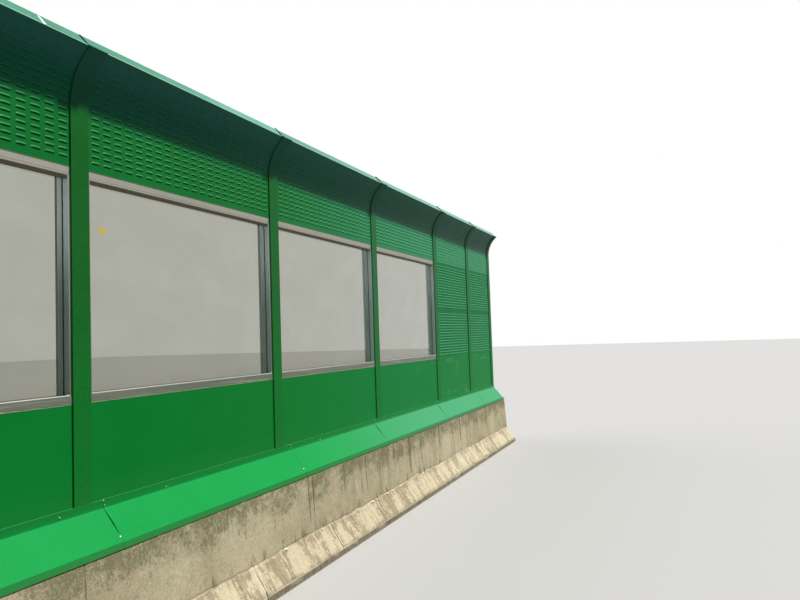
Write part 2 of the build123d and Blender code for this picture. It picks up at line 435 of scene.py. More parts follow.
def concrete():
    """Weathered concrete, with the seams, chips and runs marked on its mesh."""
    f = Finish("concrete")
    mottle = f.noise(13, 6, 0.7)
    grain = f.noise(170, 4, 0.75)
    concrete_tone(f, mottle)
    face_stains(f)
    slope_stains(f)
    f.tint(f.by_length(0.9, 2.4), (1.09, 1.1, 1.11), mode="MULTIPLY")
    f.tint(f.mark("seam"), (0.085, 0.07, 0.044), 0.85)
    f.tint(f.mark("chip"), (0.62, 0.56, 0.41), 0.8)

    chance = f.maths("GREATER_THAN", f.noise(11, 2), 0.55)
    pit = f.times(f.between(f.cells(48), 0.14, 0.07), chance)
    f.tint(pit, (0.1, 0.09, 0.055), 0.5)
    f.tint(1, f.ramp(grain, (0.25, 0.8), (0.75, 1.18)), mode="MULTIPLY")
    f.tint(1, f.ramp(f.noise(52, 5, 0.75), (0.3, 0.8), (0.7, 1.16)), mode="MULTIPLY")
    bumps = [(mottle, 0.6, 0.004), (grain, 0.5, 0.0015), (f.times(pit, -1), 0.8, 0.004)]
    return f.done(f.scaled(grain, 0.2, 0.75), 0.15, bumps)


# Painted bluish reflection high up in the canopy's shade: tone, lowest and highest height, share left at
# the far end
CANOPY_CROWN_REFLECTION = ((0.047, 0.216, 0.17), 3.25, 3.43, 0.35)
# Sheets: painted sky sheen towards the far end, painted reflections of dents on the far bottom panels, and
# painted shade among the hoods of the louvred panels above 1.56 m
panel_paint = painted_steel(
    "panel_paint", (0.0028, 0.205, 0.027), (0.0022, 0.187, 0.023), dent_sheen=0.18,
    far=((0.001, 0.208, 0.041), -1.9, 1.9), upper_tone_and_shade=((0.003, 0.158, 0.04), 1.5, 1.56),
)
# Canopy sheets: painted sky sheen towards the far end, painted shade in the canopy's own shadow and a
# painted bluish reflection high up under the cap
canopy_paint = painted_steel(
    "canopy_paint", (0.0078, 0.186, 0.033), (0.006, 0.17, 0.029), roughness=0.42,
    far=((0.025, 0.272, 0.108), -1.9, 1.9), upper_tone_and_shade=((0.0145, 0.155, 0.082), 3.06, 3.22),
    crown_reflection=CANOPY_CROWN_REFLECTION,
)
# Hood paint, lighter than the sheets: a painted highlight on the hoods' lit tops, with painted shade in the
# canopy's shadow, a painted bluish reflection under the cap and painted glints
hood_highlight_paint = painted_steel(
    "hood_highlight_paint", (0.03, 0.225, 0.07), (0.022, 0.205, 0.06), roughness=0.42, specular=0.04,
    wave=0, far=((0.06, 0.37, 0.18), -1.9, 1.9), upper_tone_and_shade=((0.02, 0.194, 0.097), 3.06, 3.22),
    crown_reflection=CANOPY_CROWN_REFLECTION, glints=(0.32, 0.5, 0.24),
)
# Hoods of the louvred panels, far lighter than their sheets: a painted highlight, with painted glints
panel_hood_highlight_paint = painted_steel(
    "panel_hood_highlight_paint", (0.05, 0.392, 0.172), (0.04, 0.352, 0.15), roughness=0.42,
    specular=0.04, wave=0, glints=(0.36, 0.62, 0.4),
)
# Posts: painted bounce light towards the foot, painted sky sheen towards the far end, painted shade in the
# canopy's shadow and a painted bluish reflection at the head
post_paint = painted_steel(
    "post_paint", (0.008, 0.138, 0.019), (0.006, 0.118, 0.016), wave=0.001, mottling=0.1,
    far=((0.02, 0.15, 0.044), -2.8, 0.8), foot_bounce_light=(0.003, 0.178, 0.022),
    upper_tone_and_shade=((0.015, 0.128, 0.06), 3.08, 3.2), crown_reflection=((0.044, 0.175, 0.125), 3.2, 3.43, 0.35),
)
# Flashing: painted sky sheen towards the far end, and a darker top to the upstand
flashing_paint = painted_steel(
    "flashing_paint", (0.0065, 0.278, 0.057), (0.005, 0.26, 0.051), (0.03, 0.2, 0.06), wave=0.003,
    far=((0.056, 0.302, 0.14), -1.5, 2.2), upper_tone_and_shade=((0.009, 0.212, 0.034), 0.9, 0.945),
)
# Caps: painted sky sheen towards the far end, and a painted sheen along one sheet's stretch
cap_paint = painted_steel(
    "cap_paint", (0.052, 0.258, 0.168), (0.018, 0.2, 0.112), roughness=0.34, specular=0.1, wave=0.002,
    far=((0.088, 0.318, 0.225), -1.9, 1.9), sheen_length=((2.1, 1.38, 1.52), -2.75, -1.95, -1.44),
)
# Pale paint on the caps' hems and a lap: a painted highlight where their edges catch the sun
hem_highlight_paint = painted_steel(
    "hem_highlight_paint", (0.26, 0.47, 0.36), (0.2, 0.41, 0.3), roughness=0.34, specular=0.15, wave=0
)
frame_finish = frame_metal("frame_metal", (0.345, 0.338, 0.285), (0.15, 0.176, 0.136))
sill_finish = frame_metal("sill_metal", (0.62, 0.63, 0.58), (0.52, 0.52, 0.45), 0.5)
bolt_zinc = galvanised("bolt_zinc", (0.3, 0.3, 0.29), 0.55)
# Near-white zinc for a strip across the first cap: a painted glint on a crease
glint_metal = galvanised("glint_metal", (0.92, 0.92, 0.9), 0)
rivet_metal = galvanised("rivet_metal", (0.5, 0.52, 0.48), 0)
screw_metal = galvanised("screw_metal", (0.34, 0.4, 0.26), 0.15)
gasket = dark_rubber("gasket_rubber", (0.075, 0.072, 0.058), (0.15, 0.145, 0.12))
brown_bead = dark_rubber("glazing_bead", (0.215, 0.182, 0.112), (0.31, 0.27, 0.175))
# Near-black plates in the caps' open joints: painted shade
joint_shade = dark_rubber("joint_shade", (0.004, 0.007, 0.005), (0.01, 0.014, 0.011), 0.05)
# Painted shade: the dark inside of the panels, seen through the slits
slit_shade = two_tone("louvre_slit_shade", (0.0015, 0.01, 0.003), (0.003, 0.022, 0.006), (70, 3), 0.9, 0)
sealant_finish = two_tone(
    "sealant", (0.3, 0.29, 0.2), (0.46, 0.44, 0.33), (45, 4), 0.5, grain=((220, 3), 0.3, 0.0008)
)
mortar_finish = two_tone(
    "mortar", (0.52, 0.46, 0.32), (0.78, 0.72, 0.55), (60, 6, 0.75), 0.9, 0.15, (0.35, 0.65),
    ((60, 6, 0.75), 0.6, 0.003),
)
label_finish = two_tone("plain_label", (0.72, 0.5, 0.04), (0.6, 0.42, 0.06), (60, 4), 0.55)
concrete_finish = concrete()

SLOT_FINISH = {
    "panel_paint": panel_paint, "post_paint": post_paint, "flashing_paint": flashing_paint,
    "frame_metal": frame_finish, "pane": clear_pane(), "packing": gasket, "concrete": concrete_finish,
}
NODE_FINISH = {"canopy_caps": cap_paint, "flashing_packing": panel_paint}
NODE_FINISH.update({f"canopy_panel_{bay}": canopy_paint for bay in range(1, BAYS + 1)})


def finish_cad_nodes():
    """Give every node of the frame its finish."""
    for part in frame["record"]["subparts"]:
        name = part["node"]
        materials = frame["nodes"][name].data.materials
        materials.clear()
        materials.append(NODE_FINISH.get(name, SLOT_FINISH[part["material_slot"]]))


def new_mesh(name, vertices, faces, material):
    mesh = bpy.data.meshes.new(name)
    mesh.from_pydata(vertices, [], faces)
    mesh.materials.append(material)
    return mesh


def new_object(name, data):
    thing = bpy.data.objects.new(name, data)
    bpy.context.scene.collection.objects.link(thing)
    return thing


def make_piece(name, material, shapes, smooth=False):
    """One piece of many (vertices, faces) shapes."""
    vertices, faces = [], []
    for points, polygons in shapes:
        start = len(vertices)
        vertices += [tuple(point) for point in points]
        faces += [tuple(start + i for i in polygon) for polygon in polygons]
    mesh = new_mesh(name, vertices, faces, material)
    if smooth:
        mesh.polygons.foreach_set("use_smooth", [True] * len(mesh.polygons))
        mesh.set_sharp_from_angle(angle=radians(28))
    mesh.update()
    piece = new_object(name, mesh)
    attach(piece, "root")
    return piece


def paint_points(piece, name, values):
    """Store a value on each point for the material."""
    piece.data.attributes.new(name, "FLOAT", "POINT").data.foreach_set("value", values)


def grid_faces(rows, columns, start=0, flip=False, wrap=False):
    """Quads over a grid of points stored row by row."""
    faces = []
    for r in range(rows - 1):
        for c in range(columns if wrap else columns - 1):
            a, b = start + r * columns + c, start + r * columns + (c + 1) % columns
            quad = (a, b, b + columns, a + columns)
            faces.append(quad[::-1] if flip else quad)
    return faces


def tube_faces(rows, size, flip=False):
    """Faces of rings of points, joined in turn and closed at the ends."""
    last = (rows - 1) * size
    faces = grid_faces(rows, size, wrap=True)
    faces += [tuple(range(size))[::-1], tuple(range(last, last + size))]
    return [face[::-1] for face in faces] if flip else faces


def shell_faces(rows, columns, flip=False):
    """Faces of an outer and an inner grid, joined around their border."""
    count = rows * columns
    faces = grid_faces(rows, columns, 0, flip) + grid_faces(rows, columns, count, not flip)
    border = list(range(columns)) + [r * columns + columns - 1 for r in range(1, rows)]
    border += [(rows - 1) * columns + c for c in range(columns - 2, -1, -1)]
    border += [r * columns for r in range(rows - 2, 0, -1)]
    for i, a in enumerate(border):
        b = border[(i + 1) % len(border)]
        faces.append((a, b, b + count, a + count) if flip else (b, a, a + count, b + count))
    return faces


# Faces of a four-cornered plate: one side's corners, then the other's
PLATE_FACES = [(0, 1, 2, 3), (7, 6, 5, 4)]
PLATE_FACES += [(i, i + 4, (i + 1) % 4 + 4, (i + 1) % 4) for i in range(4)]

# Pressed louvres: a shallow hood over a slit, in rows and columns
LOUVRE_LENGTH = 0.0615
LOUVRE_HEIGHT = 0.0105
LOUVRE_RISE = 0.0046
LOUVRE_SHEET = 0.0009
LOUVRE_PITCH = 0.0875
LOUVRE_ROWS = 16
LOUVRE_ROW_PITCH = 0.0367
LOUVRE_MARGIN = 0.10925
FIRST_LOUVRE_RUN = 0.057
FIRST_BAY_SHIFT = 0.016
LOUVRE_STATIONS = (-1.0, -0.965, -0.9, -0.75, -0.3, 0.3, 0.75, 0.9, 0.965, 1.0)
HOOD_ROWS = 4
PANEL_TONGUE = 0.008
# By bay: the height above which no hood gets a painted glint, and the least draw; more glints if higher
HOOD_GLINT_DRAWS = {1: (3.05, -1.7), 2: (3.05, -1.7), 3: (3.25, -0.5), 4: (3.25, 0.0), 5: (3.25, 0.0), 6: (3.25, 0.0)}
PANEL_GLINT_LEAST = -0.15


def louvre_template():
    """Closed hood as (along, up, out): a straight open lower edge, rounded ends."""
    outer, inner = [], []
    for r in range(HOOD_ROWS):
        v = r / (HOOD_ROWS - 1)
        for u in LOUVRE_STATIONS:
            end_wall = max(0.1, (1 - abs(u) ** 7) ** 0.5)
            rounded = max(0.2, (1 - abs(u) ** 5) ** 0.5)
            rise = LOUVRE_RISE * v ** 1.15 * end_wall
            x = u * LOUVRE_LENGTH / 2
            z = LOUVRE_HEIGHT * ((1 - v) * rounded - 0.5)
            outer.append((x, z, rise))
            inner.append((x * 0.975, z - 0.0003, max(rise - LOUVRE_SHEET, -0.0006)))
    return outer + inner, shell_faces(HOOD_ROWS, len(LOUVRE_STATIONS), flip=True)


def slit_shade_template():
    """Thin dark plate of painted shade just inside the hood's open edge, reaching a little below it as a
    painted shadow.
    """
    half = LOUVRE_LENGTH * 0.455
    low = -LOUVRE_HEIGHT * 0.5 - 0.0016
    high = low + 0.007
    shape = [(-half, low), (half, low), (half * 0.94, high), (-half * 0.94, high)]
    return [(x, z, out) for out in (0.0003, -0.0006) for x, z in shape], PLATE_FACES


HOOD = louvre_template()
SLIT_SHADE = slit_shade_template()


def face_point(run):
    """Point, outward and upward directions at a distance up the canopy's road face, in Y and Z."""
    if run <= STRAIGHT_RISE:
        return (PANEL_FRONT, CANOPY_BOTTOM + run), (-1.0, 0.0), (0.0, 1.0)
    angle = (run - STRAIGHT_RISE) / BEND_RADIUS
    ahead, rise = cos(angle), sin(angle)
    return (BEND_Y + BEND_RADIUS * ahead, BEND_HEIGHT + BEND_RADIUS * rise), (-ahead, -rise), (-rise, ahead)


def louvre_columns(bay):
    """Places of the louvres along a bay."""
    left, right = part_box(f"canopy_panel_{bay}")
    shift = FIRST_BAY_SHIFT if bay == 1 else 0.0
    start, end = left.x + LOUVRE_MARGIN + shift, right.x - LOUVRE_MARGIN + shift
    count = round((end - start) / LOUVRE_PITCH)
    return [start + (end - start) * i / count for i in range(count + 1)]


def paint_hood_glints(piece, seed, top, least):
    """Paint glints on the left ends of some of the hoods, none above a height."""
    pick = random.Random(seed)
    along, size = len(LOUVRE_STATIONS), len(HOOD[0])
    values = []
    for hood in range(len(piece.data.vertices) // size):
        hood_glint = max(0.0, pick.uniform(least, 1.0))
        if piece.data.vertices[hood * size].co.z > top:
            hood_glint = 0.0
        values += [hood_glint * max(0.0, 1.0 - 0.3 * (i % along)) for i in range(size)]
    paint_points(piece, "hood_glint", values)


def make_louvres(bay, rows, names, paint):
    """Hoods and slits along a bay; each row is a point, an outward and an upward direction."""
    hoods, slits = (
        [
            ([(x + a, y + b * up[0] + c * out[0], z + b * up[1] + c * out[1]) for a, b, c in points], faces)
            for (y, z), out, up in rows for x in louvre_columns(bay)
        ]
        for points, faces in (HOOD, SLIT_SHADE)
    )
    piece = make_piece(names[0], paint, hoods, smooth=True)
    make_piece(names[1], slit_shade, slits)
    return piece


def make_canopy_louvres(bay):
    rows = [face_point(FIRST_LOUVRE_RUN + row * LOUVRE_ROW_PITCH) for row in range(LOUVRE_ROWS)]
    piece = make_louvres(bay, rows, (f"canopy_louvres_{bay}", f"canopy_slits_{bay}"), hood_highlight_paint)
    paint_hood_glints(piece, bay, *HOOD_GLINT_DRAWS[bay])


def make_panel_louvres(bay, level):
    low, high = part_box(f"louvre_panel_{bay}_{level}")
    middle = (low.z + high.z - PANEL_TONGUE) / 2
    heights = [middle + (row - (LOUVRE_ROWS - 1) / 2) * LOUVRE_ROW_PITCH for row in range(LOUVRE_ROWS)]
    rows = [((PANEL_FRONT, z), (-1.0, 0.0), (0.0, 1.0)) for z in heights]
    names = (f"louvres_{bay}_{level}", f"slits_{bay}_{level}")
    piece = make_louvres(bay, rows, names, panel_hood_highlight_paint)
    paint_hood_glints(piece, bay * 10 + LOUVRE_ROWS, high.z, PANEL_GLINT_LEAST)


def ring(x0, x1, z0, z1, width, y0, y1):
    """A mitred ring from y0 to y1, whose width runs inwards."""
    corners = [(x0, z0), (x1, z0), (x1, z1), (x0, z1)]
    corners += [(x - a * width, z - b * width) for (x, z), (a, b) in zip(corners, SQUARE)]
    vertices = [(x, y, z) for y in (y0, y1) for x, z in corners]
    faces = []
    for i in range(4):
        j = (i + 1) % 4
        faces += [(i, j, j + 4, i + 4), (i + 8, i + 12, j + 12, j + 8)]
        faces += [(i, i + 8, j + 8, j), (i + 4, j + 4, j + 12, i + 12)]
    return vertices, faces


def opening_sides(bay):
    """X of a window's opening, left and right."""
    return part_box(f"window_{bay}_left_stile")[1].x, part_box(f"window_{bay}_right_stile")[0].x


def make_gaskets(bay):
    """Rubber beads on both faces of a pane, along the frame."""
    width, depth = 0.0014, 0.0018
    opening = (*opening_sides(bay), OPENING_BOTTOM, OPENING_TOP)
    sides = (pane_low.y - depth, pane_low.y), (pane_high.y, pane_high.y + depth)
    make_piece(f"pane_gasket_{bay}", gasket, [ring(*opening, width, *side) for side in sides])


def strip(x0, x1, section, steps=1, swell=None):
    """A bar along X with a closed (y, z) section, whose point k is shifted by swell(x, k)."""
    vertices = []
    for i in range(steps + 1):
        x = x0 + (x1 - x0) * i / steps
        for k, (y, z) in enumerate(section):
            dy, dz = swell(x, k) if swell else (0.0, 0.0)
            vertices.append((x, y + dy, z + dz))
    return vertices, tube_faces(steps + 1, len(section))


def box_section(front, back, low, high, edge=0.0006):
    """A bar's section with eased front edges."""
    section = [(back, low), (back, high), (front + edge, high)]
    return section + [(front, high - edge), (front, low + edge), (front + edge, low)]


# Details of the window rails: depths from the panels' face and distances from an edge
RAIL_EMBED = 0.0004
RIB_RISE = 0.0024
RIB_BANDS = ((-0.0205, -0.0085), (-0.0465, -0.0245))
LIP_RADIUS = 0.0036
LIP_MIDDLE = 0.0034
MASTIC_SECTION = ((-RAIL_EMBED, 0.003), (0.0008, 0.0022), (0.0019, 0.0), (0.0008, -0.0022),
                  (-RAIL_EMBED, -0.003))


def make_rail_details(bay):
    """Ribs, sill lip and mastic on the lower rail; on the upper one a glazing bead and a dark seal strip
    that paints the shadow line under the canopy panel.
    """
    left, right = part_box(f"window_{bay}_bottom_rail")
    inner_left, inner_right = opening_sides(bay)
    ends = left.x + 0.002, right.x - 0.002
    back = PANEL_FRONT + RAIL_EMBED
    ribs = []
    for low, high in RIB_BANDS:
        section = box_section(PANEL_FRONT - RIB_RISE, back, OPENING_BOTTOM + low, OPENING_BOTTOM + high)
        ribs.append(strip(*ends, section, 60))
    middle = OPENING_BOTTOM - LIP_MIDDLE
    lip = [(back, OPENING_BOTTOM + 0.0002)]
    for angle in range(90, -91, -30):
        turn = radians(angle)
        lip.append((PANEL_FRONT - LIP_RADIUS * cos(turn), middle + LIP_RADIUS * sin(turn)))
    lip.append((back, middle - LIP_RADIUS))
    # A dark strip along the canopy panel's foot: a painted shadow line over the top rail
    top = box_section(PANEL_FRONT - 0.0009, back, CANOPY_BOTTOM - 0.0052, CANOPY_BOTTOM - 0.0002, 0.0003)
    held = box_section(PANEL_FRONT + 0.01, pane_low.y - 0.0019, OPENING_TOP - 0.015, OPENING_TOP + 0.0004)
    held_bead = strip(inner_left - 0.0004, inner_right + 0.0004, held)

    def uneven(x, k):
        if not 0 < k < 5:
            return 0.0, 0.0
        size = max(0.12, 0.55 + 0.9 * wobble(x * 14.0, bay * 3.0, 1.0))
        return 0.0021 * (1.0 - size), -0.002 * (1.0 - size)

    bead = [(PANEL_FRONT - out, rail_low.z + up) for out, up in MASTIC_SECTION]
    mastic = strip(left.x + 0.004, right.x - 0.004, bead, 150, uneven)
    make_piece(f"rail_ribs_{bay}", frame_finish, ribs)
    make_piece(f"sill_lip_{bay}", sill_finish, [strip(inner_left, inner_right, lip, 60)], True)
    make_piece(f"rail_shadow_line_{bay}", gasket, [strip(*ends, top)])
    make_piece(f"glazing_bead_{bay}", brown_bead, [held_bead])
    make_piece(f"rail_mastic_{bay}", sealant_finish, [mastic], True)


def lathe(profile, sides, centre, axis_out, axis_a, axis_b, turn=0.0):
    """Round or many-sided shape from (radius, distance out) points."""
    vertices = []
    for radius, out in profile:
        for i in range(sides):
            angle = 2 * pi * i / sides + turn
            spoke = axis_a * cos(angle) + axis_b * sin(angle)
            vertices.append(centre + axis_out * out + spoke * radius)
    return vertices, tube_faces(len(profile), sides)


def blob(centre, size, seed, rings=7, sides=12, roughness=0.3):
    """An uneven closed lump, its half sizes along X, Y and Z."""
    vertices = []
    for r in range(1, rings):
        polar = pi * r / rings
        for i in range(sides):
            angle = 2 * pi * i / sides
            across = sin(polar)
            way = Vector((across * cos(angle), across * sin(angle), cos(polar)))
            swell = 1.0 + roughness * noise.noise(way * 1.6 + Vector((seed, seed * 2.7, 0.0)))
            vertices.append(centre + way * Vector(size) * swell)
    faces = grid_faces(rings - 1, sides, flip=True, wrap=True)
    top, bottom = len(vertices), len(vertices) + 1
    vertices += [centre + UPWARDS * size[2], centre - UPWARDS * size[2]]
    last = (rings - 2) * sides
    for i in range(sides):
        j = (i + 1) % sides
        faces += [(top, i, j), (bottom, last + j, last + i)]
    return vertices, faces


def make_sealant_dabs():
    """Dabs left on the sills and under the bottom rails."""
    dabs = []
    pick = random.Random(21)
    for bay in WINDOW_BAYS:
        left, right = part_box(f"window_{bay}_bottom_rail")
        for number in range(17):
            x = pick.uniform(left.x + 0.08, right.x - 0.08)
            on_sill = number % 3 == 0
            z = OPENING_BOTTOM if on_sill else rail_low.z + pick.uniform(-0.001, 0.003)
            y = PANEL_FRONT + 0.006 if on_sill else PANEL_FRONT
            size = (pick.uniform(0.004, 0.022), 0.0022, pick.uniform(0.0016, 0.0032))
            dabs.append(blob(Vector((x, y, z)), size, number * 1.7 + bay, roughness=0.5))
        for x in (left.x + 0.075, right.x - 0.075):
            spot = Vector((x, PANEL_FRONT + 0.004, OPENING_BOTTOM))
            dabs.append(blob(spot, (0.01, 0.003, 0.004), x * 3.1, roughness=0.5))
    make_piece("sealant_dabs", sealant_finish, dabs, smooth=True)


# Profiles of the anchors' parts as (radius, height above the base plate)
WASHER = ((0.0175, 0.0), (0.0185, 0.0007), (0.0185, 0.0026), (0.0178, 0.0032))
NUT = ((0.0145, 0.0032), (0.0168, 0.0046), (0.0168, 0.0175), (0.0145, 0.019))
STUD = [(0.0098, 0.019), (0.0098, 0.0195)]
for thread in range(9):
    STUD += [(0.01, 0.0205 + thread * 0.0025), (0.0089, 0.02175 + thread * 0.0025)]
STUD.append((0.008, 0.045))
BOLT_INSET_X = 0.03
BOLT_INSET_Y = 0.035


def make_anchor_bolts():
    """Studs, nuts and washers on the posts' base plates."""
    bolts, washers = [], []
    axes = UPWARDS, ACROSS, BACKWARDS
    middle_y = FLANGE_FRONT + POST_DEPTH / 2
    reach_y = HALF_BASE_PLATE - BOLT_INSET_Y
    for number in range(1, BAYS + 2):
        low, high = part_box(f"post_{number}")
        for x in (low.x + BOLT_INSET_X, high.x - BOLT_INSET_X):
            for y in (middle_y - reach_y, middle_y + reach_y):
                spot = Vector((x, y, BASE_PLATE_TOP))
                turn = random.uniform(0, pi / 3)
                washers.append(lathe(WASHER, 24, spot, *axes))
                bolts += [lathe(NUT, 6, spot, *axes, turn), lathe(STUD, 12, spot, *axes)]
    make_piece("anchor_bolts", bolt_zinc, bolts)
    make_piece("anchor_washers", bolt_zinc, washers)


# Flashing section from its upstand's top edge to its drip lip, outer face, in Y and Z
FLASHING_TOP = flashing_high.z
SHEET = 0.002
FOLD = (FLANGE_FRONT - SHEET, FLASHING_TOP - 0.0465)
NOSE = (-0.1145, 0.7345)
LIP = (-0.1198, 0.7)
SLOPE_OUT = Vector((0.0, -0.766, 0.643))
SLOPE_UP = Vector((0.0, 0.643, 0.766))
JOINT_PLACES = [x + flashing_low.x for x in itertools.accumulate((2.2, 2.02, 1.7, 2.01, 1.87))]
# Laps: how far each stands off, the share of the slope where it is widest, and their columns
LAP_LIFTS = (0.0065, 0.0012, 0.006, 0.0052, 0.003)
LAP_WIDEST = (0.42, 0.5, 0.16, 0.18, 0.3)
LAP_COLUMNS = ((-0.001, 1.0), (0.012, 0.74), (0.035, 0.42), (0.07, 0.16), (0.11, 0.0))
LAP_STEPS = 14
LAP_GAP = 0.0007
LAP_THICKNESS = 0.0006
RIVET_SHARE = 0.845
BRIGHT_RIVETS = 2
SCREW_HEAD = ((0.005, 0.0), (0.0052, 0.0006), (0.0042, 0.001), (0.0037, 0.0012), (0.0035, 0.003),
              (0.0029, 0.0036))
RIVET_DOME = ((0.0058, 0.0), (0.0058, 0.0008), (0.0049, 0.002), (0.0031, 0.0029), (0.001, 0.0032))


def slope_point(share):
    """Point on the slope's outer face, from the fold to the nose."""
    return FOLD[0] + (NOSE[0] - FOLD[0]) * share, FOLD[1] + (NOSE[1] - FOLD[1]) * share


def lap_lift(share, widest):
    """How far a lap stands off, where 1 is the widest."""
    if share > RIVET_SHARE:
        return 0.0
    if share < widest:
        return 0.25 + 0.75 * sin(share / widest * pi / 2)
    return max(0.0, cos((share - widest) / (RIVET_SHARE - widest) * pi / 2))


def make_flashing_laps():
    """Each sheet laps over the one before it; its free edge stands off."""
    laps = []
    shares = [i / LAP_STEPS for i in range(LAP_STEPS + 1)]
    path = [(FLANGE_FRONT - SHEET, FLASHING_TOP), *(slope_point(share) for share in shares), LIP]
    for joint, most, widest in zip(JOINT_PLACES, LAP_LIFTS, LAP_WIDEST):
        lifts = [0.0, *(lap_lift(share, widest) * most for share in shares), 0.0]
        outer, inner = [], []
        for dx, share in LAP_COLUMNS:
            for (y, z), lift in zip(path, lifts):
                spot = Vector((joint + dx, y, z))
                rise = LAP_GAP + lift * share
                outer.append(spot + SLOPE_OUT * rise)
                inner.append(spot + SLOPE_OUT * (rise - LAP_THICKNESS))
        laps.append((outer + inner, shell_faces(len(LAP_COLUMNS), len(path))))
    make_piece("flashing_laps", flashing_paint, laps)


def make_flashing_fixings():
    """Screws along the upstand and a rivet low on the slope at every joint."""
    screws, rivets, painted, places = [], [], [], []
    for number, joint in enumerate(JOINT_PLACES):
        places += [(joint + 0.008, FOLD[1] + 0.014, screws), (joint, FLASHING_TOP - 0.005, screws)]
        before = painted if number else screws
        places += [(joint - 0.3, FOLD[1] + 0.02, before), (joint + 0.515, FOLD[1] + 0.012, screws)]
        places += [(joint + 1.02, FOLD[1] + 0.016, painted)]
    for x, z, target in places:
        if flashing_low.x + 0.02 < x < flashing_high.x - 0.02:
            spot = Vector((x, FLANGE_FRONT - SHEET, z))
            target.append(lathe(SCREW_HEAD, 12, spot, -BACKWARDS, ACROSS, UPWARDS))
    for number, joint in enumerate(JOINT_PLACES):
        spot = Vector((joint - 0.004, *slope_point(RIVET_SHARE))) + SLOPE_OUT * LAP_THICKNESS
        target = rivets if number < BRIGHT_RIVETS else painted
        target.append(lathe(RIVET_DOME, 16, spot, SLOPE_OUT, ACROSS, SLOPE_UP))
    make_piece("flashing_painted_rivets", flashing_paint, painted, smooth=True)
    make_piece("flashing_screws", screw_metal, screws)
    make_piece("flashing_rivets", rivet_metal, rivets, smooth=True)


def make_pane_label():
    """A small plain label on the second bay's pane."""
    centre_x, centre_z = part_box("window_2_pane")[0].x + 0.142, 2.474
    half_w, half_h, slant, thickness = 0.029, 0.0135, 0.006, 0.0004
    corners = [(centre_x + a * half_w, centre_z + b * half_h - a * slant) for a, b in SQUARE]
    vertices = [(x, y, z) for y in (pane_low.y - thickness, pane_low.y) for x, z in corners]
    make_piece("pane_label", label_finish, [(vertices, PLATE_FACES)])


# Parapet: the same section as the frame's, cast in lengths, with worn edges
FACE_SEAMS = (-3.5175, -1.1285, 1.8015, 2.5315, 3.3765, 3.7145, 5.0705)
SLOPE_SEAMS = (-4.35, -3.1, -2.055, -0.895, 0.088, 0.9, 1.33, 1.907, 2.463, 3.2, 3.9, 4.65)
# Dark runs down the face: place, top, bottom, half width
RUNS = (
    (-2.3, 0.62, 0.5, 0.008), (-1.73, 0.66, 0.36, 0.006), (-1.2, 0.7, 0.3, 0.01), (-0.56, 0.7, 0.42, 0.01),
    (-0.09, 0.68, 0.34, 0.009), (0.62, 0.7, 0.48, 0.018), (1.06, 0.72, 0.27, 0.03),
    (1.42, 0.68, 0.32, 0.014), (2.08, 0.7, 0.4, 0.018), (2.95, 0.7, 0.34, 0.022), (3.62, 0.7, 0.28, 0.02),
    (4.3, 0.7, 0.32, 0.024),
)
# Lumps of mortar on the break: place and half length
LUMPS = ((-0.03, 0.03), (0.06, 0.015), (0.34, 0.022), (0.47, 0.018), (0.7, 0.026), (0.76, 0.013),
         (1.38, 0.018), (-1.62, 0.02), (-1.05, 0.014), (2.3, 0.022))
KERB_TOP = (-0.2775, 0.05)
SLOPE_TOP = (-0.14446, 0.24)
FACE_TOP = (-0.1102, 0.73)
CHAMFER = 0.02
COLUMN_STEP = 0.026
SEAM_COLUMNS = (-0.03, -0.022, -0.014, -0.007, -0.003, 0.003, 0.007, 0.018, 0.03)


def parapet_section():
    """Closed section as (y, z, outward normal) points, from the kerb's foot, finer near the break."""
    front, back = parapet_low.y, parapet_high.y
    above = [a + (b - a) * 0.11 for a, b in zip(SLOPE_TOP, FACE_TOP)]
    # Each corner and the number of steps to the next one
    corners = [
        ((front, 0.0), 5), ((front, KERB_TOP[1]), 20), (SLOPE_TOP, 11), (above, 30), (FACE_TOP, 1),
        ((FACE_TOP[0] + 0.0214, PARAPET_TOP), 8), ((back - CHAMFER, PARAPET_TOP), 1),
        ((back, PARAPET_TOP - CHAMFER), 18), ((back, 0.0), 4),
    ]
    points = []
    for ((y0, z0), steps), ((y1, z1), _) in zip(corners, corners[1:] + corners[:1]):
        along = Vector((y1 - y0, z1 - z0)).normalized()
        out = Vector((-along.y, along.x))
        for t in (i / steps for i in range(steps)):
            points.append((y0 + (y1 - y0) * t, z0 + (z1 - z0) * t, out))
    return points


def parapet_columns():
    """Places along the parapet, closer at the seams and runs."""
    length = parapet_high.x - parapet_low.x
    count = round(length / COLUMN_STEP)
    places = [parapet_low.x + length * i / count for i in range(count + 1)]
    for seam in FACE_SEAMS + SLOPE_SEAMS:
        places = [x for x in places if abs(x - seam) > 0.032]
        places += [seam + dx for dx in SEAM_COLUMNS]
    for run, _, _, half in RUNS:
        places = [x for x in places if abs(x - run) > half * 1.4]
        places += [run + half * k for k in (-1.2, -0.6, 0.0, 0.6, 1.2)]
    return sorted(places)


def seam_marks(x, z):
    """Darkness of the nearest seam, and brightness of its worn edge on the slope."""
    dark = bright = 0.0
    if z > SLOPE_TOP[1]:
        for seam in FACE_SEAMS:
            if abs(x - seam) < 0.0035:
                dark = 0.5 + 0.65 * wobble(seam * 3.1, z * 5.0, 0.0)
        return dark, bright
    for seam in SLOPE_SEAMS:
        lean = 0.05 * (z - 0.15) * sin(seam * 5.0)
        away = x - seam - lean
        if abs(away) < 0.0045:
            dark = 0.75 + 0.5 * wobble(seam * 3.1, z * 7.0, 0.0)
        elif -0.026 < away < 0.0 and z > KERB_TOP[1]:
            bright = max(0.0, 0.85 + 0.7 * wobble(seam * 5.3, z * 9.0, x * 20.0))
    return dark, bright


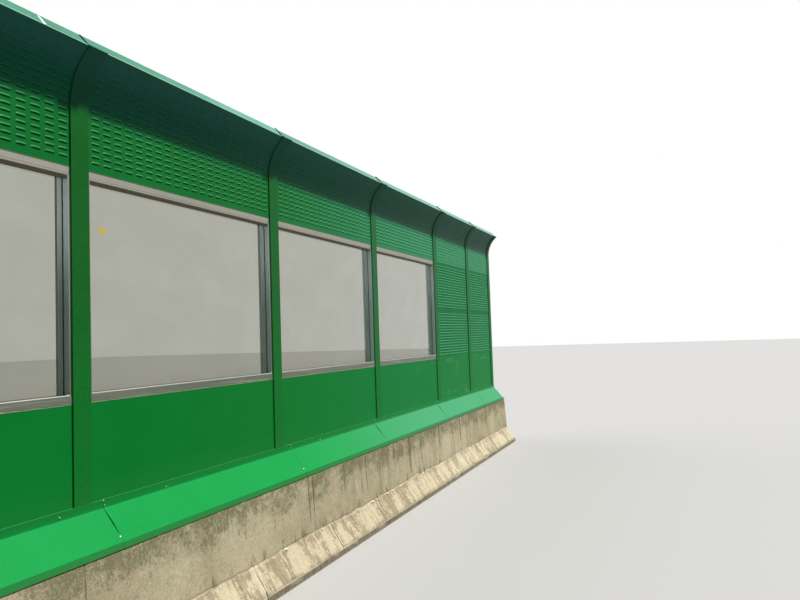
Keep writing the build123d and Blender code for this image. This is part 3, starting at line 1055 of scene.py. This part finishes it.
def crust_marks(x, z):
    """The mortar's ragged edge on the break: bulge, paleness and dirt above it."""
    wave = wobble(x * 1.3, 3.3, 8.0) * 0.02 + wobble(x * 7.0, 5.1, 2.0) * 0.012
    edge = 0.008 + wave + wobble(x * 24.0, 1.1, 4.0) * 0.005
    rise = z - SLOPE_TOP[1] - edge
    strength = 0.45 + 0.9 * wobble(x * 2.6, 7.7, 1.0)
    bulge = clamp(-rise / 0.006) * near(z, SLOPE_TOP[1], 0.045)
    patchy = strength - 0.15 + 0.9 * wobble(x * 22.0, z * 22.0, 3.0)
    pale = near(rise, -0.01, 0.011) * clamp(patchy, 0.0, 0.8)
    dirt = near(rise, 0.002, 0.009) * clamp(0.95 - strength * 0.5, 0.15, 0.85)
    return bulge, pale, dirt


def kerb_marks(x, z):
    """Broken places along the kerb's edge, and its worn paleness."""
    uneven = wobble(x * 5.0, 9.0, 2.0) + 0.5 * wobble(x * 16.0, 4.0, 2.0)
    broken = near(z, KERB_TOP[1], 0.03) * clamp((uneven + 0.05) * 1.8)
    pale = near(z, KERB_TOP[1], 0.009) * max(0.0, 0.55 + 0.9 * wobble(x * 3.0, 2.0, 6.0))
    return broken, pale


def run_mark(x, z):
    """Strength of the dark runs at a point of the face."""
    strongest = 0.0
    for place, top, bottom, half in RUNS:
        across = near(x, place, half * 1.2)
        if across > 0 and bottom < z < top + 0.05:
            strongest = max(strongest, across * min(1.0, (z - bottom) / 0.1))
    return strongest


def worn_point(x, z):
    """How far the road side is worn back, and its chip, seam and run marks."""
    swell = wobble(x * 1.1, z * 2.0, 3.0) * 0.0014
    rough = wobble(x * 9.0, z * 14.0, 7.0) * 0.0011 + wobble(x * 30.0, z * 36.0, 1.0) * 0.0006
    bulge, pale, dirt = crust_marks(x, z)
    kerb_chip, kerb_pale = kerb_marks(x, z)
    seam, edge = seam_marks(x, z)
    under_lip = clamp((z - 0.5) / 0.18)
    depth = 0.0014 - 0.0046 * under_lip + swell + rough + kerb_chip * 0.014 + seam * 0.006 - bulge * 0.006
    chip = min(1.0, pale + kerb_chip * 0.3 + edge + kerb_pale)
    return depth, max(0.0, chip), max(0.0, seam, dirt), run_mark(x, z)


def make_parapet():
    """The cast parapet with its crust, worn kerb and open seams."""
    section, columns = parapet_section(), parapet_columns()
    vertices, marks = [], []
    for x in columns:
        for y, z, out in section:
            depth, *mark = 0.0, 0.0, 0.0, 0.0
            if out.x < -0.3 and z > 0.001:
                depth, *mark = worn_point(x, z)
            elif out.x > 0.3 and z > 0.001:
                depth = 0.001 + wobble(x * 1.3, z * 2.0, 11.0) * 0.001
            if x in (columns[0], columns[-1]):
                depth *= 0.3
            vertices.append((x, y - out.x * depth, max(0.0, z - out.y * depth) if z > 0 else 0.0))
            marks.append(mark)
    shape = vertices, tube_faces(len(columns), len(section), flip=True)
    piece = make_piece("parapet_concrete", concrete_finish, [shape], smooth=True)
    for name, values in zip(("chip", "seam", "run"), zip(*marks)):
        paint_points(piece, name, values)
    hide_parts("parapet")


def make_mortar_lumps():
    """Pale lumps of mortar left on the break of the slope."""
    lumps = []
    for number, (x, length) in enumerate(LUMPS):
        centre = Vector((x, SLOPE_TOP[0] - 0.006, SLOPE_TOP[1] - 0.006))
        lumps.append(blob(centre, (length, 0.013, 0.011), number * 2.3, roughness=0.35))
    make_piece("mortar_lumps", mortar_finish, lumps, smooth=True)


# The caps' outer face: its lower corner and its direction upwards, in Y and Z
CAP_ANGLE = radians(50.755)
CAP_OUT = Vector((-sin(CAP_ANGLE), cos(CAP_ANGLE)))
CAP_UP = Vector((cos(CAP_ANGLE), sin(CAP_ANGLE)))
CAP_CORNER = Vector((-0.10355, 3.42915)) + CAP_OUT * 0.003
CAP_JOINT_SHIFT = -0.0645
CAP_JOINT_LEAN = -0.016
# Open joints between caps, filled with near-black plates of painted shade: widths at the foot and at the
# top, and how far up they reach
CAP_GAPS = ((0.0085, 0.0065, 0.08), (0.028, 0.008, 0.0935), (0.034, 0.034, 0.0935),
            (0.038, 0.04, 0.0935), (0.042, 0.046, 0.0935))
HEM_SECTION = ((-0.001, 0.0), (-0.001, 0.0105), (0.0012, 0.0105), (0.0026, 0.0085), (0.0026, 0.002),
               (0.0012, 0.0))
# Where a white strip across the first cap paints a glint on a crease
GLINT_CREASE = -3.722


def post_middle(number):
    low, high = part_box(f"post_{number}")
    return (low.x + high.x) / 2


def cap_point(up, out):
    """Point at a distance up a cap's outer face and off it, in Y and Z."""
    return tuple(CAP_CORNER + CAP_UP * up + CAP_OUT * out)


def cap_plate(near_side, far_side, foot, top):
    """A plate across a cap: X of its sides at foot and top; ends as (up, inner, outer)."""
    corners = [(*cap_point(foot[0], out), 0) for out in foot[1:]]
    corners += [(*cap_point(top[0], out), 1) for out in top[:0:-1]]
    return [(side[k], y, z) for side in (near_side, far_side) for y, z, k in corners], PLATE_FACES


def make_cap_edges():
    """A hem on each cap, painted pale as a highlight; near-black plates painted as shade in the open joints
    between them; one white strip painted as a glint.
    """
    starts = [post_middle(number) + CAP_JOINT_SHIFT for number in range(2, BAYS + 1)]
    caps_low, caps_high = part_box("canopy_caps")
    ends = [caps_low.x, *starts, caps_high.x]
    section = [cap_point(up, out) for out, up in HEM_SECTION]
    hems = [strip(a + 0.003, b - 0.003, section, 40) for a, b in zip(ends, ends[1:])]
    joints = []
    for x, (foot, top, reach) in zip(starts, CAP_GAPS):
        sides = [(x + way * foot / 2, x + way * top / 2 + CAP_JOINT_LEAN) for way in (-1, 1)]
        joints.append(cap_plate(*sides, (-0.001, -0.003, 0.0035), (reach, -0.003, 0.0045)))
    sides = (GLINT_CREASE, GLINT_CREASE - 0.008), (GLINT_CREASE + 0.014, GLINT_CREASE + 0.002)
    seam = cap_plate(*sides, (0.004, -0.002, 0.001), (0.074, -0.002, 0.001))
    # A slanting lap beside the glint strip, painted pale as a highlight
    lap = []
    for x, up in ((GLINT_CREASE + 0.05, 0.04), (GLINT_CREASE + 0.3, 0.006)):
        for lift, out in ((0.0, -0.001), (0.0, 0.0012), (0.003, 0.0012), (0.003, -0.001)):
            lap.append((x, *cap_point(up + lift, out)))
    sides = [(i, (i + 1) % 4, (i + 1) % 4 + 4, i + 4) for i in range(4)]
    hems.append((lap, [(3, 2, 1, 0), (4, 5, 6, 7), *sides]))
    make_piece("cap_hem_highlights", hem_highlight_paint, hems, smooth=True)
    make_piece("cap_joint_shades", joint_shade, joints)
    make_piece("cap_glint_crease", glint_metal, [seam])


def weld_bead(start, end, side, up, radius=0.0045, steps=22):
    """A rippled fillet bead from start to end, thick towards side and up."""
    along = end - start
    vertices = []
    for i in range(steps + 1):
        spot = start + along * (i / steps)
        ripple = radius * (1.0 + 0.16 * cos(i * 2.4) + 0.1 * noise.noise(spot * 60.0))
        for k in range(5):
            angle = pi / 2 * k / 4
            vertices.append(spot + side * ripple * cos(angle) + up * ripple * sin(angle))
        vertices.append(spot - side * 0.0004 - up * 0.0004)
    return vertices, tube_faces(steps + 1, 6)


def make_post_welds():
    """Beads at the posts' feet, on the rear flange and the web."""
    beads = []
    rear = FLANGE_FRONT + POST_DEPTH
    for number in range(1, BAYS + 2):
        middle = Vector((post_middle(number), 0, BASE_PLATE_TOP))
        across = [middle + ACROSS * way * HALF_FLANGE + BACKWARDS * rear for way in (-1, 1)]
        beads.append(weld_bead(*across, BACKWARDS, UPWARDS))
        for way in (-1, 1):
            foot = middle + ACROSS * way * HALF_WEB
            web = foot + BACKWARDS * (FLANGE_FRONT + 0.012), foot + BACKWARDS * (rear - 0.012)
            beads.append(weld_bead(*web, ACROSS * way, UPWARDS))
    make_piece("post_welds", post_paint, beads, smooth=True)


# Lamps: name, energy, angle, colour, and the direction towards them
LAMPS = (
    ("sun", 5.2, 5.0, (1.0, 0.965, 0.91), (0.22, -0.41, 0.885)),
    ("fill_behind", 1.5, 80.0, (1.0, 1.0, 1.0), (-0.3, 0.85, 0.43)),
)
FLOOR_REACH = 90.0


def make_stage():
    """Pale floor and background, a high sun from the road side and a soft fill behind."""
    material = bpy.data.materials.new("floor")
    material.use_nodes = True
    shades = Shades(material.node_tree)
    tone = shades.lit_or_seen((0.09, 0.09, 0.09), (0.42, 0.42, 0.41))
    surface = shades.node("BsdfDiffuse", {"Color": tone})
    shades.node("OutputMaterial", {"Surface": surface.outputs["BSDF"]})
    corners = [(a * FLOOR_REACH, b * FLOOR_REACH, 0) for a, b in SQUARE]
    new_object("floor", new_mesh("floor", corners, [(0, 1, 2, 3)], material))

    world = bpy.data.worlds.new("studio")
    bpy.context.scene.world = world
    world.use_nodes = True
    shades = Shades(world.node_tree)
    colour = shades.lit_or_seen((0.15, 0.18, 0.27), (1.0, 1.0, 1.0))
    light = shades.node("Background", {"Color": colour, "Strength": 1.0})
    shades.node("OutputWorld", {"Surface": light.outputs["Background"]})

    for name, energy, angle, colour, towards in LAMPS:
        lamp = bpy.data.lights.new(name, "SUN")
        lamp.energy = energy
        lamp.angle = radians(angle)
        lamp.color = colour
        turn = Vector(towards).normalized().to_track_quat("Z", "Y")
        new_object(name, lamp).rotation_euler = turn.to_euler()


def make_camera():
    lens = bpy.data.cameras.new("camera")
    lens.lens = CAMERA_LENS
    lens.sensor_width = SENSOR_WIDTH
    lens.sensor_fit = "HORIZONTAL"
    lens.clip_end = 400.0
    ahead = Vector((cos(CAMERA_HEADING), sin(CAMERA_HEADING), 0.0))
    forward = ahead * cos(CAMERA_PITCH) + UPWARDS * sin(CAMERA_PITCH)
    level = Vector((ahead.y, -ahead.x, 0.0))
    upright = level.cross(forward)
    right = level * cos(CAMERA_ROLL) + upright * sin(CAMERA_ROLL)
    up = upright * cos(CAMERA_ROLL) - level * sin(CAMERA_ROLL)
    turn = Matrix((right, up, -forward)).transposed()
    camera = new_object("camera", lens)
    camera.matrix_world = Matrix.Translation(CAMERA_PLACE) @ turn.to_4x4()
    bpy.context.scene.camera = camera


finish_cad_nodes()
for bay in range(1, BAYS + 1):
    make_canopy_louvres(bay)
for bay, level in itertools.product(LOUVRE_BAYS, ("lower", "upper")):
    make_panel_louvres(bay, level)
for bay in WINDOW_BAYS:
    make_gaskets(bay)
    make_rail_details(bay)
make_sealant_dabs()
make_anchor_bolts()
make_flashing_laps()
make_flashing_fixings()
make_pane_label()
make_cap_edges()
make_post_welds()
make_parapet()
make_mortar_lumps()
make_stage()
make_camera()

bpy.context.scene.view_settings.view_transform = "Standard"
